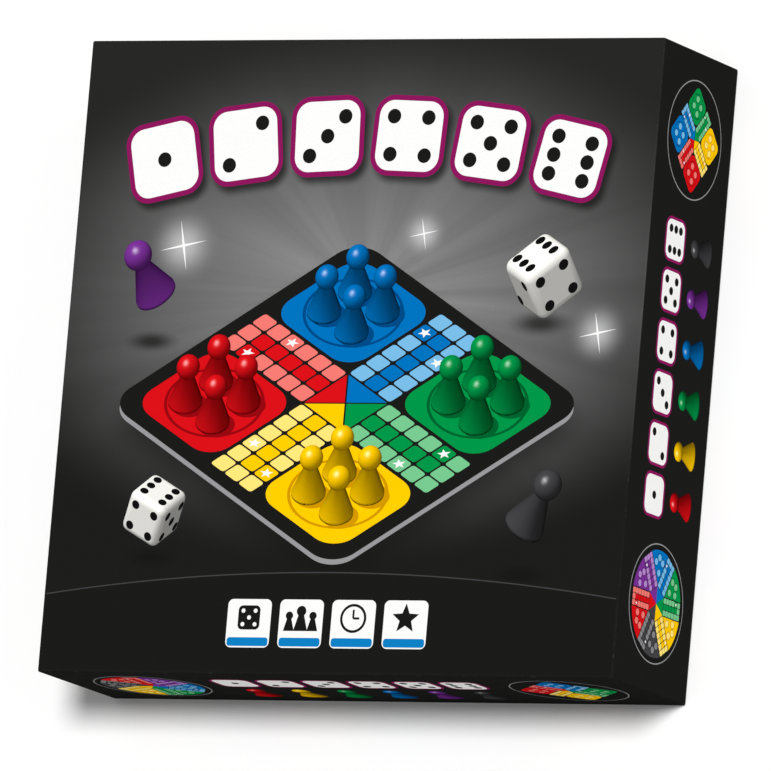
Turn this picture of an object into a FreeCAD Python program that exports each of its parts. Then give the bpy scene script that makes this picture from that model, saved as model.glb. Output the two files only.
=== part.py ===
# Ludo board game in a square set-up box with a full-depth lift-off lid. Lengths are in millimetres.
# The box lies on its base with +Z up through the lid and +Y towards the top edge of the lid's picture.
# The origin is the middle of the underside.

import FreeCAD
import Part

import math
import os

# Closed box, outside and over the paper
BOX_LENGTH = 270.0
BOX_WIDTH = 270.0
BOX_HEIGHT = 70.0

# Greyboard shells of the lid and the base, with their corner tape and paper wrap
LID_BOARD = 2.0
BASE_BOARD = 2.0
WRAP_PAPER = 0.25
FOLD_RADIUS = 0.6
LID_TURN_IN = 20.0
BASE_TURN_IN = 18.0
LID_RIM_GAP = 1.0
TELESCOPE_GAP = 0.75
STAY_LEG = 22.0
STAY_TAPE = 0.15
STAY_END_GAP = 5.0

# Folded card insert: a platform on each side of a sunk trough
INSERT_CARD = 1.0
INSERT_GAP = 0.75
CARD_FOLD_RADIUS = 0.6
COMPARTMENTS = 7
DIE_COMPARTMENT = 3

# Dividers that slot into the trough's walls
DIVIDER_CARD = 1.0
DIVIDER_HEIGHT = 34.0
DIVIDER_CORNER = 4.0
DIVIDER_END_GAP = 0.3
TAB_REACH = 7.0
TAB_HEIGHT = 14.0
TAB_RISE = 8.0
SLIT_GAP = 0.15

# Two-sided game board
BOARD_CORE = 2.0
BOARD_SHEET = 0.25
BOARD_CORNER = 22.0
BOARD_GAP = 1.75
SEAT_GAP = 0.3

# Rules leaflet, one sheet folded once, and the clear space above it
LEAFLET_LENGTH = 200.0
LEAFLET_WIDTH = 142.0
LEAF = 0.2
LEAF_GAP = 0.3
HEADROOM = 10.0

# Hollow moulded pawn
PAWN_COLOURS = ("red", "yellow", "green", "blue", "purple", "black")
PAWNS_PER_COLOUR = 4
PAWN_HEIGHT = 26.0
PAWN_FOOT = 17.0
PAWN_FOOT_BAND = 1.4
PAWN_FOOT_ROUNDING = 0.4
PAWN_NECK = 6.4
PAWN_HEAD = 11.5
PAWN_WALL = 1.3
PAWN_HOLLOW_HEIGHT = 12.5
PAWN_HOLLOW_TIP = 2.4
PAWN_GAP = 8.0

# Die with dished, painted pips
DIE_SIZE = 16.0
DIE_ROUNDING = 2.6
PIP_WIDTH = 3.2
PIP_DEPTH = 0.7
PIP_PAINT = 0.12
PIP_SPACING = 4.2

# Cutting tools run past the faces that they open by this much, and edges are found to this nearness
OVERRUN = 1.0
NEARNESS = 0.01

# Heights and spans that follow from the values above
LID_UNDERSIDE = BOX_HEIGHT - WRAP_PAPER - LID_BOARD
LID_WALL = LID_BOARD + 2 * WRAP_PAPER
BASE_LENGTH = BOX_LENGTH - 2 * (LID_WALL + TELESCOPE_GAP)
BASE_WIDTH = BOX_WIDTH - 2 * (LID_WALL + TELESCOPE_GAP)
BASE_WALL = BASE_BOARD + 2 * WRAP_PAPER
BASE_FLOOR = WRAP_PAPER + BASE_BOARD
TRAY_LENGTH = BASE_LENGTH - 2 * BASE_WALL
TRAY_WIDTH = BASE_WIDTH - 2 * BASE_WALL
LEAFLET_THICKNESS = 2 * LEAF + LEAF_GAP
LEAFLET_BOTTOM = LID_UNDERSIDE - HEADROOM - LEAFLET_THICKNESS
BOARD_THICKNESS = BOARD_CORE + 2 * BOARD_SHEET
BOARD_BOTTOM = LEAFLET_BOTTOM - SEAT_GAP - BOARD_THICKNESS
BOARD_LENGTH = TRAY_LENGTH - 2 * BOARD_GAP
BOARD_WIDTH = TRAY_WIDTH - 2 * BOARD_GAP
PLATFORM_TOP = BOARD_BOTTOM - SEAT_GAP
INSERT_LENGTH = TRAY_LENGTH - 2 * INSERT_GAP
INSERT_WIDTH = TRAY_WIDTH - 2 * INSERT_GAP
PAWN_PITCH = PAWN_FOOT + PAWN_GAP
TROUGH_WIDTH = PAWNS_PER_COLOUR * PAWN_PITCH + PAWN_GAP
TROUGH_FLOOR = BASE_FLOOR + INSERT_CARD
COMPARTMENT_PITCH = INSERT_WIDTH / COMPARTMENTS


def slab(length, width, z_one, z_other):
    """A block centred on the Z axis between two heights, given in either order."""
    low = min(z_one, z_other)
    corner = FreeCAD.Vector(-length / 2, -width / 2, low)
    return Part.makeBox(length, width, abs(z_other - z_one), corner)


def moved(shape, x, y, z):
    """A copy of a shape, shifted."""
    copy = shape.copy()
    copy.translate(FreeCAD.Vector(x, y, z))
    return copy


class Tray:
    """One half of the box: a closed face, four walls and an open rim, all given over the paper."""

    def __init__(self, length, width, face, rim, board, turn_in):
        self.length = length
        self.width = width
        self.face = face
        self.rim = rim
        self.board = board
        self.turn_in = turn_in
        self.inward = math.copysign(1, rim - face)

    def from_face(self, depth):
        """The height that lies this deep behind the closed face."""
        return self.face + self.inward * depth

    def from_rim(self, depth):
        """The height that lies this far from the rim, towards the closed face."""
        return self.rim - self.inward * depth

    def envelope(self, inset):
        """The tray's outside, filled, drawn in by an inset and rounded along its folds."""
        box = slab(
            self.length - 2 * inset,
            self.width - 2 * inset,
            self.from_face(inset),
            self.from_rim(inset),
        )
        rim_height = self.from_rim(inset)
        folds = [edge for edge in box.Edges if not self.lies_at(edge, rim_height)]
        return box.makeFillet(FOLD_RADIUS + WRAP_PAPER - inset, folds)

    @staticmethod
    def lies_at(edge, height):
        """Whether an edge lies level at a height."""
        return all(abs(vertex.Z - height) < NEARNESS for vertex in edge.Vertexes)

    def hollow(self, wall, start):
        """The space between walls of a thickness, from a height out past the rim."""
        return slab(
            self.length - 2 * wall,
            self.width - 2 * wall,
            start,
            self.from_rim(-OVERRUN),
        )

    def bare_board(self):
        """The greyboard shell before its corner tape is pressed in."""
        floor = self.from_face(WRAP_PAPER + self.board)
        cavity = self.hollow(WRAP_PAPER + self.board, floor)
        return self.envelope(WRAP_PAPER).cut(cavity)

    def corner_stays(self):
        """Four strips of corner tape, flush in the outside of the greyboard."""
        skin = self.envelope(WRAP_PAPER).cut(self.envelope(WRAP_PAPER + STAY_TAPE))
        low = self.from_face(WRAP_PAPER + STAY_END_GAP)
        high = self.from_rim(WRAP_PAPER + STAY_END_GAP)
        strips = []
        for x_side in (-1, 1):
            for y_side in (-1, 1):
                column = slab(2 * STAY_LEG, 2 * STAY_LEG, low, high)
                x = x_side * (self.length / 2 - WRAP_PAPER)
                y = y_side * (self.width / 2 - WRAP_PAPER)
                strips.append(skin.common(moved(column, x, y, 0)).Solids[0])
        return Part.makeCompound(strips)

    def greyboard(self):
        """The greyboard shell with the places of its corner tape."""
        return self.bare_board().cut(self.corner_stays())

    def wrap(self):
        """The paper over the outside, round the rim and a turn-in up the inside."""
        floor = self.from_face(WRAP_PAPER + self.board)
        inside = self.hollow(WRAP_PAPER + self.board, floor)
        over_turn_in = inside.common(
            slab(self.length, self.width, floor, self.from_rim(self.turn_in))
        )
        mouth = self.hollow(2 * WRAP_PAPER + self.board, self.from_rim(self.turn_in))
        return self.envelope(0).cut([self.bare_board(), over_turn_in, mouth])


def edges_along_y(shape, places):
    """The edges of a shape that run along Y through any of the (x, z) places."""
    found = []
    for edge in shape.Edges:
        ends = edge.Vertexes
        level = len(ends) == 2 and abs(ends[0].X - ends[1].X) + abs(ends[0].Z - ends[1].Z) < NEARNESS
        for x, z in places:
            if level and abs(ends[0].X - x) < NEARNESS and abs(ends[0].Z - z) < NEARNESS:
                found.append(edge)
    return found


def divider_places():
    """The Y of each divider, midway between two compartments."""
    return [(index - COMPARTMENTS / 2) * COMPARTMENT_PITCH for index in range(1, COMPARTMENTS)]


def compartment_middle(index):
    """The Y of a compartment's middle."""
    return (index - (COMPARTMENTS - 1) / 2) * COMPARTMENT_PITCH


def insert_card():
    """One card folded into skirts, platforms and a trough, with slits for the dividers' tabs."""
    card = INSERT_CARD
    trough = TROUGH_WIDTH / 2
    skirt = INSERT_LENGTH / 2
    half = [
        (trough + card, BASE_FLOOR),
        (trough + card, PLATFORM_TOP - card),
        (skirt - card, PLATFORM_TOP - card),
        (skirt - card, BASE_FLOOR),
        (skirt, BASE_FLOOR),
        (skirt, PLATFORM_TOP),
        (trough, PLATFORM_TOP),
        (trough, BASE_FLOOR + card),
    ]
    outline = half + [(-x, z) for x, z in reversed(half)]
    points = [FreeCAD.Vector(x, -INSERT_WIDTH / 2, z) for x, z in outline]
    section = Part.Face(Part.makePolygon(points + points[:1]))
    folded = section.extrude(FreeCAD.Vector(0, INSERT_WIDTH, 0))
    inner = [half[1], half[2], half[7]]
    outer = [half[0], half[5], half[6]]
    for places, radius in ((inner, CARD_FOLD_RADIUS), (outer, CARD_FOLD_RADIUS + card)):
        both = places + [(-x, z) for x, z in places]
        folded = folded.makeFillet(radius, edges_along_y(folded, both))
    slit = slab(
        TROUGH_WIDTH + 2 * card + 2 * OVERRUN,
        DIVIDER_CARD + 2 * SLIT_GAP,
        TROUGH_FLOOR + TAB_RISE - SLIT_GAP,
        TROUGH_FLOOR + TAB_RISE + TAB_HEIGHT + SLIT_GAP,
    )
    return folded.cut([moved(slit, 0, y, 0) for y in divider_places()])


def divider(y):
    """A card wall across the trough, held by a tab at each end."""
    length = TROUGH_WIDTH - 2 * DIVIDER_END_GAP
    top = TROUGH_FLOOR + DIVIDER_HEIGHT
    plate = slab(length, DIVIDER_CARD, TROUGH_FLOOR, top)
    corners = edges_along_y(plate, [(-length / 2, top), (length / 2, top)])
    plate = plate.makeFillet(DIVIDER_CORNER, corners)
    low = TROUGH_FLOOR + TAB_RISE
    reach = TROUGH_WIDTH + 2 * (INSERT_CARD + TAB_REACH)
    tabs = slab(reach, DIVIDER_CARD, low, low + TAB_HEIGHT)
    return moved(plate.fuse(tabs).removeSplitter(), 0, y, 0)


def board_layer(low, high):
    """One layer of the game board, cut to its outline with round corners."""
    sheet = slab(BOARD_LENGTH, BOARD_WIDTH, low, high)
    uprights = [edge for edge in sheet.Edges if not Tray.lies_at(edge, edge.Vertexes[0].Z)]
    return sheet.makeFillet(BOARD_CORNER, uprights)


def leaflet():
    """A sheet folded once, its two leaves joined along a round fold on the left."""
    thickness = LEAFLET_THICKNESS
    middle = LEAFLET_BOTTOM + thickness / 2
    along_y = FreeCAD.Vector(0, 1, 0)
    start = FreeCAD.Vector(-LEAFLET_LENGTH / 2 + thickness / 2, -LEAFLET_WIDTH / 2, middle)

    def folded(height, reach):
        """A flat body of a height with a round left end, reaching right from the fold."""
        corner = start + FreeCAD.Vector(0, 0, -height / 2)
        flat = Part.makeBox(reach, LEAFLET_WIDTH, height, corner)
        return flat.fuse(Part.makeCylinder(height / 2, LEAFLET_WIDTH, start, along_y))

    leaves = folded(thickness, LEAFLET_LENGTH - thickness / 2)
    between = folded(LEAF_GAP, LEAFLET_LENGTH)
    return leaves.cut(between).removeSplitter()


def pawn():
    """A hollow cone with a ball head, turned about Z and standing at the origin."""
    foot = PAWN_FOOT / 2
    neck = PAWN_NECK / 2
    head = PAWN_HEAD / 2
    head_middle = PAWN_HEIGHT - head
    neck_angle = math.pi - math.asin(neck / head)

    def at(radius, z):
        """A point of the turned outline."""
        return FreeCAD.Vector(radius, 0, z)

    def on_head(angle):
        """A point of the head at an angle from its crown."""
        return at(head * math.sin(angle), head_middle + head * math.cos(angle))

    round_share = 1 - math.sqrt(0.5)
    edge_middle = at(foot - PAWN_FOOT_ROUNDING * round_share, PAWN_FOOT_ROUNDING * round_share)
    flank = [
        on_head(neck_angle),
        at(foot, PAWN_FOOT_BAND),
        at(foot, PAWN_FOOT_ROUNDING),
    ]
    underside = [
        at(foot - PAWN_FOOT_ROUNDING, 0),
        at(foot - PAWN_WALL, 0),
        at(PAWN_HOLLOW_TIP / 2, PAWN_HOLLOW_HEIGHT),
        at(0, PAWN_HOLLOW_HEIGHT),
        at(0, PAWN_HEIGHT),
    ]
    edges = [
        Part.Arc(on_head(0), on_head(neck_angle / 2), flank[0]).toShape(),
        Part.makePolygon(flank),
        Part.Arc(flank[-1], edge_middle, underside[0]).toShape(),
        Part.makePolygon(underside),
    ]
    outline = Part.Wire([edge for piece in edges for edge in piece.Edges])
    return Part.Face(outline).revolve(at(0, 0), FreeCAD.Vector(0, 0, 1), 360)


def pip_places():
    """The middle of each pip on the die's faces and the face's outward direction."""
    spots = {
        "centre": [(0, 0)],
        "diagonal": [(-1, -1), (1, 1)],
        "other_diagonal": [(-1, 1), (1, -1)],
        "sides": [(-1, 0), (1, 0)],
    }
    square = spots["diagonal"] + spots["other_diagonal"]
    x, y, z = FreeCAD.Vector(1, 0, 0), FreeCAD.Vector(0, 1, 0), FreeCAD.Vector(0, 0, 1)
    faces = [
        (z, y, x, square + spots["sides"]),
        (-z, x, y, spots["centre"]),
        (x, y, z, square + spots["centre"]),
        (-x, y, z, spots["diagonal"]),
        (-y, x, z, square),
        (y, x, z, spots["diagonal"] + spots["centre"]),
    ]
    return [
        (out * (DIE_SIZE / 2) + (across * u + up * v) * PIP_SPACING, out)
        for out, across, up, pattern in faces
        for u, v in pattern
    ]


def die_and_pips():
    """The die with its dished pips, and the paint that lines the pips, centred on the origin."""
    cube = slab(DIE_SIZE, DIE_SIZE, -DIE_SIZE / 2, DIE_SIZE / 2)
    cube = cube.makeFillet(DIE_ROUNDING, cube.Edges)
    dish = (PIP_WIDTH**2 / 4 + PIP_DEPTH**2) / (2 * PIP_DEPTH)
    balls = []
    linings = []
    for place, out in pip_places():
        middle = place + out * (dish - PIP_DEPTH)
        ball = Part.makeSphere(dish, middle)
        balls.append(ball)
        lining = ball.common(cube).cut(Part.makeSphere(dish - PIP_PAINT, middle))
        linings.append(lining.Solids[0])
    return cube.cut(balls), Part.makeCompound(linings)


def build():
    """Every piece of the game by its node name."""
    lid = Tray(BOX_LENGTH, BOX_WIDTH, BOX_HEIGHT, LID_RIM_GAP, LID_BOARD, LID_TURN_IN)
    base = Tray(BASE_LENGTH, BASE_WIDTH, 0, LID_UNDERSIDE, BASE_BOARD, BASE_TURN_IN)
    nodes = {
        "lid_board": lid.greyboard(),
        "lid_corner_stays": lid.corner_stays(),
        "lid_wrap": lid.wrap(),
        "base_board": base.greyboard(),
        "base_corner_stays": base.corner_stays(),
        "base_wrap": base.wrap(),
        "insert_card": insert_card(),
    }
    for number, y in enumerate(divider_places(), 1):
        nodes[f"insert_divider_{number}"] = divider(y)

    core_bottom = BOARD_BOTTOM + BOARD_SHEET
    core_top = core_bottom + BOARD_CORE
    nodes["board_back_sheet"] = board_layer(BOARD_BOTTOM, core_bottom)
    nodes["board_core"] = board_layer(core_bottom, core_top)
    nodes["board_front_sheet"] = board_layer(core_top, core_top + BOARD_SHEET)
    nodes["rules_leaflet"] = leaflet()

    one_pawn = pawn()
    colour_places = [index for index in range(COMPARTMENTS) if index != DIE_COMPARTMENT]
    for colour, index in zip(PAWN_COLOURS, colour_places):
        for number in range(PAWNS_PER_COLOUR):
            x = (number - (PAWNS_PER_COLOUR - 1) / 2) * PAWN_PITCH
            y = compartment_middle(index)
            nodes[f"{colour}_pawn_{number + 1}"] = moved(one_pawn, x, y, TROUGH_FLOOR)

    die, pips = die_and_pips()
    die_place = (0, compartment_middle(DIE_COMPARTMENT), TROUGH_FLOOR + DIE_SIZE / 2)
    nodes["die"] = moved(die, *die_place)
    nodes["die_pips"] = moved(pips, *die_place)
    return nodes


os.makedirs("parts", exist_ok=True)
for name, shape in build().items():
    shape.exportStep(f"parts/{name}.step")
    state = "valid" if shape.isValid() else "not valid"
    print(name, len(shape.Solids), "solids", round(shape.Volume, 1), "mm3", state)
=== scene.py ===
"""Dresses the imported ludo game: printed box, card insert, board, pawns, die and rules leaflet.

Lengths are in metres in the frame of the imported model: +Z up through the lid, +Y towards the top edge of the
lid's picture, and the origin in the middle of the underside.
"""
import logging
import math
from abc import ABC, abstractmethod
from dataclasses import dataclass, field
from enum import Enum, auto
from functools import lru_cache
from typing import Optional, Sequence, Union

import bmesh
import bpy
from mathutils import Euler, Matrix, Vector


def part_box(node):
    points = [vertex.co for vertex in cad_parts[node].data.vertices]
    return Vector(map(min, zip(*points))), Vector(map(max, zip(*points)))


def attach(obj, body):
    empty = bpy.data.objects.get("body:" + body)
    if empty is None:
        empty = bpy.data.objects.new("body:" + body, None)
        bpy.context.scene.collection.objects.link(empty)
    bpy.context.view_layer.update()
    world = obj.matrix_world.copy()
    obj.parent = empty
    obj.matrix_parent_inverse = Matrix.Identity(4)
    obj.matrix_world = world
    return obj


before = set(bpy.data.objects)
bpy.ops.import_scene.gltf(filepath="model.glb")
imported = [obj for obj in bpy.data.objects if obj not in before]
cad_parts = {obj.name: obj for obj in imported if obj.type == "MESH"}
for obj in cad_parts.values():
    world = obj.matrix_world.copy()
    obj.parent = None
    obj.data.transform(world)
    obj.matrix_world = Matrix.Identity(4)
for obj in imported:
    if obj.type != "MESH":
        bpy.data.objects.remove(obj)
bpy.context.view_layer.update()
LOG = logging.getLogger("ludo_game")

Pair = tuple[float, float]
Triple = tuple[float, float, float]
Colour = Triple
Socket = bpy.types.NodeSocket
Value = Union[float, Sequence[float], Socket]
Shape = bmesh.types.BMesh

# The photograph's frame is square, and its side in pixels sets the lens
FRAME_PIXELS = 771
# Films of ink this thick lie one on another
INK_FILM = 0.00002
# A size this large along an axis makes a pattern ignore that axis
FLATTENED = 10000.0
# Nearly all the values of a noise lie in this range
NOISE_SPAN = (0.3, 0.7)
# The Mix node's sockets for colours: its factor and two colours, and its result
MIX_INPUTS = (0, 6, 7)
MIX_RESULT = 2
DIE_FACES = 6


def linear(display: Sequence[int]) -> Colour:
    """Turns a colour's 8-bit display values into linear light from 0 to 1."""
    shares = [value / 255 for value in display]
    return tuple(s / 12.92 if s <= 0.04045 else ((s + 0.055) / 1.055) ** 2.4 for s in shares)


def tinted(colour: Colour, factor: float) -> Colour:
    """A colour made lighter or darker by a factor."""
    return tuple(min(1.0, part * factor) for part in colour)


def extent(node: str) -> Vector:
    """The width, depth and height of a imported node."""
    low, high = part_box(node)
    return high - low


class Ink(Enum):
    """The printed colours, as 8-bit display values."""

    WHITE = (244, 244, 242)
    MAGENTA = (138, 22, 90)
    BLACK = (26, 26, 25)
    SILVER = (148, 148, 150)
    TILE_BLUE = (14, 124, 190)
    RED = (214, 16, 24)
    RED_PALE = (240, 120, 112)
    RED_DEEP = (146, 8, 16)
    YELLOW = (253, 200, 0)
    YELLOW_PALE = (254, 226, 120)
    YELLOW_DEEP = (206, 148, 0)
    GREEN = (0, 146, 70)
    GREEN_PALE = (116, 196, 140)
    GREEN_DEEP = (0, 96, 44)
    BLUE = (0, 112, 186)
    BLUE_PALE = (118, 184, 226)
    BLUE_DEEP = (0, 72, 132)
    PURPLE = (118, 48, 146)
    PURPLE_PALE = (178, 132, 200)
    PURPLE_DEEP = (78, 22, 104)
    COAL = (66, 66, 68)
    COAL_PALE = (132, 132, 134)
    COAL_DEEP = (40, 40, 42)


class Seat(Enum):
    """A player's colour, as its full, pale and deep inks."""

    RED = (Ink.RED, Ink.RED_PALE, Ink.RED_DEEP)
    YELLOW = (Ink.YELLOW, Ink.YELLOW_PALE, Ink.YELLOW_DEEP)
    GREEN = (Ink.GREEN, Ink.GREEN_PALE, Ink.GREEN_DEEP)
    BLUE = (Ink.BLUE, Ink.BLUE_PALE, Ink.BLUE_DEEP)
    PURPLE = (Ink.PURPLE, Ink.PURPLE_PALE, Ink.PURPLE_DEEP)
    BLACK = (Ink.COAL, Ink.COAL_PALE, Ink.COAL_DEEP)

    @property
    def full(self) -> Ink:
        """The seat's full colour."""
        return self.value[0]

    @property
    def pale(self) -> Ink:
        """The tint of the seat's plain squares."""
        return self.value[1]

    @property
    def deep(self) -> Ink:
        """The shade of the seat's home spots."""
        return self.value[2]


class PawnPlastic(Enum):
    """The pawns' colours, as 8-bit display values."""

    RED = (206, 18, 24)
    YELLOW = (250, 190, 8)
    GREEN = (10, 136, 62)
    BLUE = (4, 100, 178)
    PURPLE = (108, 42, 138)
    BLACK = (34, 34, 36)


class Stock(Enum):
    """What a print is on, by its shine: a matt film on the lid, satin on the board, none on the leaflet."""

    LID = 0.0001
    BOARD = 0.12
    LEAFLET = 0.2


class Side(Enum):
    """The lid's sides, by the frame's directions along the print and out of it."""

    RIGHT = ((0, 1, 0), (1, 0, 0))
    FRONT = ((1, 0, 0), (0, -1, 0))
    LEFT = ((0, -1, 0), (-1, 0, 0))
    BACK = ((-1, 0, 0), (0, 1, 0))


class TileSign(Enum):
    """The plain signs on the lid's small tiles, from left to right."""

    DIE = auto()
    PAWNS = auto()
    CLOCK = auto()
    STAR = auto()


class Surface:
    """A material and short calls for the nodes that the finishes use."""

    def __init__(self, name: str) -> None:
        """Starts a material with one Principled shader.

        Args:
            name: The material's name.
        """
        self.material = bpy.data.materials.new(name)
        self.material.use_nodes = True
        self.tree = self.material.node_tree
        self.tree.nodes.clear()
        self.shader = self.node("BsdfPrincipled")
        self.node("OutputMaterial", {"Surface": self.shader.outputs["BSDF"]})

    def feed(self, socket: Socket, value: Value) -> None:
        """Links a socket to another one, or sets its constant.

        Args:
            socket: The socket that takes the value.
            value: Another socket, a number, or a vector or colour.
        """
        if isinstance(value, Socket):
            self.tree.links.new(value, socket)
        elif isinstance(value, (int, float)):
            socket.default_value = value
        else:
            wanted = len(socket.default_value)
            socket.default_value = (*value, 1.0)[:wanted]

    def set(self, **inputs: Value) -> None:
        """Feeds the shader's inputs, named with underscores for spaces."""
        for name, value in inputs.items():
            self.feed(self.shader.inputs[name.replace("_", " ")], value)

    def node(
        self, kind: str, feeds: Optional[dict[Union[int, str], Value]] = None, **settings: object
    ) -> bpy.types.Node:
        """Makes a node, sets its options and feeds its inputs.

        Args:
            kind: The node's type without its ShaderNode prefix.
            feeds: The values of its inputs, by their names or numbers.
            settings: The node's own options.

        Returns:
            The new node.
        """
        made = self.tree.nodes.new("ShaderNode" + kind)
        for name, value in settings.items():
            setattr(made, name, value)
        for key, value in (feeds or {}).items():
            self.feed(made.inputs[key], value)
        return made

    def coords(self) -> Socket:
        """The piece's Object coordinates."""
        return self.node("TexCoord").outputs["Object"]

    def axes(self, vector: Value) -> Sequence[Socket]:
        """The X, Y and Z of a vector."""
        return self.node("SeparateXYZ", {0: vector}).outputs[:]

    def patch(
        self, vector: Value, middle: Sequence[float], size: Sequence[float], turn: float = 0.0
    ) -> Socket:
        """Reads a vector from a patch's middle, along its axes turned about Z, with its size as 1."""
        feeds = {"Vector": vector, "Location": middle, "Rotation": (0, 0, turn), "Scale": size}
        return self.node("Mapping", feeds, vector_type="TEXTURE").outputs[0]

    def noise(
        self, scale: float, detail: float = 2.0, stretch: Triple = (1, 1, 1), roughness: float = 0.5,
        vector: Optional[Value] = None,
    ) -> Socket:
        """Noise on Object coordinates, or on a vector.

        Args:
            scale: Features to the metre.
            detail: How many finer octaves are added.
            stretch: A factor for each axis, before the noise is read.
            roughness: How strong the finer octaves are.
            vector: What is read in place of the coordinates.

        Returns:
            The noise, from 0 to 1.
        """
        read = self.coords() if vector is None else vector
        mapped = self.node("Mapping", {"Vector": read, "Scale": stretch}).outputs[0]
        feeds = {"Vector": mapped, "Scale": scale, "Detail": detail, "Roughness": roughness}
        return self.node("TexNoise", feeds).outputs[0]

    def flecks(self, scale: float) -> Socket:
        """The distance to the nearest of many scattered points, for flecks in pulp."""
        return self.node("TexVoronoi", {"Vector": self.coords(), "Scale": scale}).outputs["Distance"]

    def maths(self, operation: str, *values: Value) -> Socket:
        """One step of arithmetic."""
        return self.node("Math", dict(enumerate(values)), operation=operation).outputs[0]

    def vector(self, operation: str, *values: Value) -> Socket:
        """One step of vector arithmetic."""
        made = self.node("VectorMath", dict(enumerate(values)), operation=operation)
        return made.outputs["Value" if operation == "LENGTH" else "Vector"]

    def span(
        self, value: Value, low: float, high: float, to_low: float = 0.0, to_high: float = 1.0,
        way: str = "LINEAR",
    ) -> Socket:
        """Carries a range of values to another, held at its ends."""
        feeds = {"Value": value, "From Min": low, "From Max": high, "To Min": to_low, "To Max": to_high}
        return self.node("MapRange", feeds, interpolation_type=way, clamp=True).outputs[0]

    def between(self, noise: Socket, ends: Pair) -> Socket:
        """A noise carried to a range between two ends."""
        return self.span(noise, *NOISE_SPAN, *ends)

    def blend(self, factor: Value, first: Value, second: Value) -> Socket:
        """Mixes two colours."""
        feeds = dict(zip(MIX_INPUTS, (factor, first, second)))
        return self.node("Mix", feeds, data_type="RGBA").outputs[MIX_RESULT]

    def varied(self, noise: Socket, colour: Colour, tints: Pair) -> Socket:
        """A colour that varies with a noise between two tints of it."""
        return self.blend(noise, *(tinted(colour, tint) for tint in tints))

    def relief(self, height: Socket, bump: Pair) -> None:
        """Gives the shader a bump of a strength and a depth."""
        made = self.node("Bump", {"Strength": bump[0], "Distance": bump[1], "Height": height})
        self.set(Normal=made.outputs[0])

    def skin(self, mottle: Socket, dullness: Pair, shine: float, height: Socket, bump: Pair) -> None:
        """Sets the roughness by a mottle, the specular level, and a bump by a height."""
        self.set(Roughness=self.between(mottle, dullness), Specular_IOR_Level=shine)
        self.relief(height, bump)


class Finish(ABC):
    """How a surface looks. Equal finishes share one material."""

    name: str

    @abstractmethod
    def paint(self, surface: Surface) -> None:
        """Lays the finish out on a new material."""

    @lru_cache(maxsize=None)
    def material(self) -> bpy.types.Material:
        """Makes the finish's material, the first time that it is asked for.

        Returns:
            The material.
        """
        surface = Surface(self.name)
        self.paint(surface)
        return surface.material


@dataclass(frozen=True)
class PrintFilm:
    """The screen of a print and the film over it."""

    stock: Stock
    screen: float = 1600.0
    screen_span: Pair = (0.2, 0.8)
    screen_tint: Pair = (0.94, 1.06)
    mottle: float = 300.0
    dullness: Pair = (0.36, 0.50)
    dimples: float = 1200.0
    bump: Pair = (0.06, 0.00003)

    def cover(self, surface: Surface, colour: Value) -> None:
        """Prints a colour and films it.

        Args:
            surface: The material.
            colour: The printed colour.
        """
        screen = surface.span(surface.noise(self.screen, detail=3), *self.screen_span, *self.screen_tint)
        surface.set(Base_Color=surface.vector("MULTIPLY", colour, screen))
        mottle, dimples = surface.noise(self.mottle), surface.noise(self.dimples)
        surface.skin(mottle, self.dullness, self.stock.value, dimples, self.bump)


@dataclass(frozen=True)
class FoldWear:
    """Paper rubbed bare in patches along the folds of a boxy piece."""

    node: str
    reach: float
    scuffs: float
    bare: Colour = linear((120, 118, 115))
    scuff_span: Pair = (0.56, 0.78)
    strength: float = 0.6

    def rub(self, surface: Surface, colour: Value) -> Socket:
        """Wears a colour away near the folds, where two of a point's three depths under the faces are small.

        Args:
            surface: The material.
            colour: The paper's colour.

        Returns:
            The worn colour.
        """
        low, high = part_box(self.node)
        offset = surface.vector("ABSOLUTE", surface.vector("SUBTRACT", surface.coords(), (low + high) / 2))
        first, *others = surface.axes(surface.vector("SUBTRACT", offset, (high - low) / 2))
        total, highest, lowest = first, first, first
        for depth in others:
            total = surface.maths("ADD", total, depth)
            highest = surface.maths("MAXIMUM", highest, depth)
            lowest = surface.maths("MINIMUM", lowest, depth)
        second = surface.maths("SUBTRACT", surface.maths("SUBTRACT", total, highest), lowest)
        edge = surface.span(second, -self.reach, 0.0)
        patchy = surface.noise(self.scuffs, detail=6, roughness=0.7)
        scuff = surface.span(patchy, *self.scuff_span, 0.0, self.strength)
        return surface.blend(surface.maths("MULTIPLY", edge, scuff), colour, self.bare)


@dataclass(frozen=True)
class FilmedInk(Finish):
    """Offset ink on paper under its film."""

    ink: Ink
    stock: Stock

    @property
    def name(self) -> str:
        """The names of the stock and the ink."""
        return f"{self.stock.name}_ink_{self.ink.name}".lower()

    def paint(self, surface: Surface) -> None:
        """Prints the ink."""
        PrintFilm(self.stock).cover(surface, linear(self.ink.value))


@dataclass(frozen=True)
class PrintedPicture(Finish):
    """A shaded picture in process colours, read from the print's own tones, under the lid's film."""

    name: str = "printed_picture"
    tones: str = "Tone"

    def paint(self, surface: Surface) -> None:
        """Prints the tones."""
        tone = surface.node("VertexColor", layer_name=self.tones)
        PrintFilm(Stock.LID).cover(surface, tone.outputs["Color"])


@dataclass(frozen=True)
class SoftSpot:
    """A blurred patch in a printed ground: an oval, or a rectangle with round corners.

    Its corner, core and rim are shares of its half size. It is full in its core and gone past its rim.
    """

    middle: Pair
    half: Pair
    turn: float = 0.0
    tilt: float = 1.0
    corner: float = 1.0
    core: float = 0.1
    rim: float = 1.0

    def mask(self, surface: Surface) -> Socket:
        """How strong the patch is at a point.

        Args:
            surface: The material.

        Returns:
            0 past the rim and 1 in the core.
        """
        level = surface.patch(surface.coords(), (*self.middle, 0), (1, self.tilt, FLATTENED))
        inside = surface.patch(level, (0, 0, 0), (*self.half, 1), self.turn)
        straight = 1 - self.corner
        past = surface.vector("SUBTRACT", surface.vector("ABSOLUTE", inside), (straight,) * 3)
        reach = surface.vector("LENGTH", surface.vector("MAXIMUM", past, (0, 0, 0)))
        return surface.span(reach, self.rim - straight, self.core - straight, way="SMOOTHSTEP")


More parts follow.
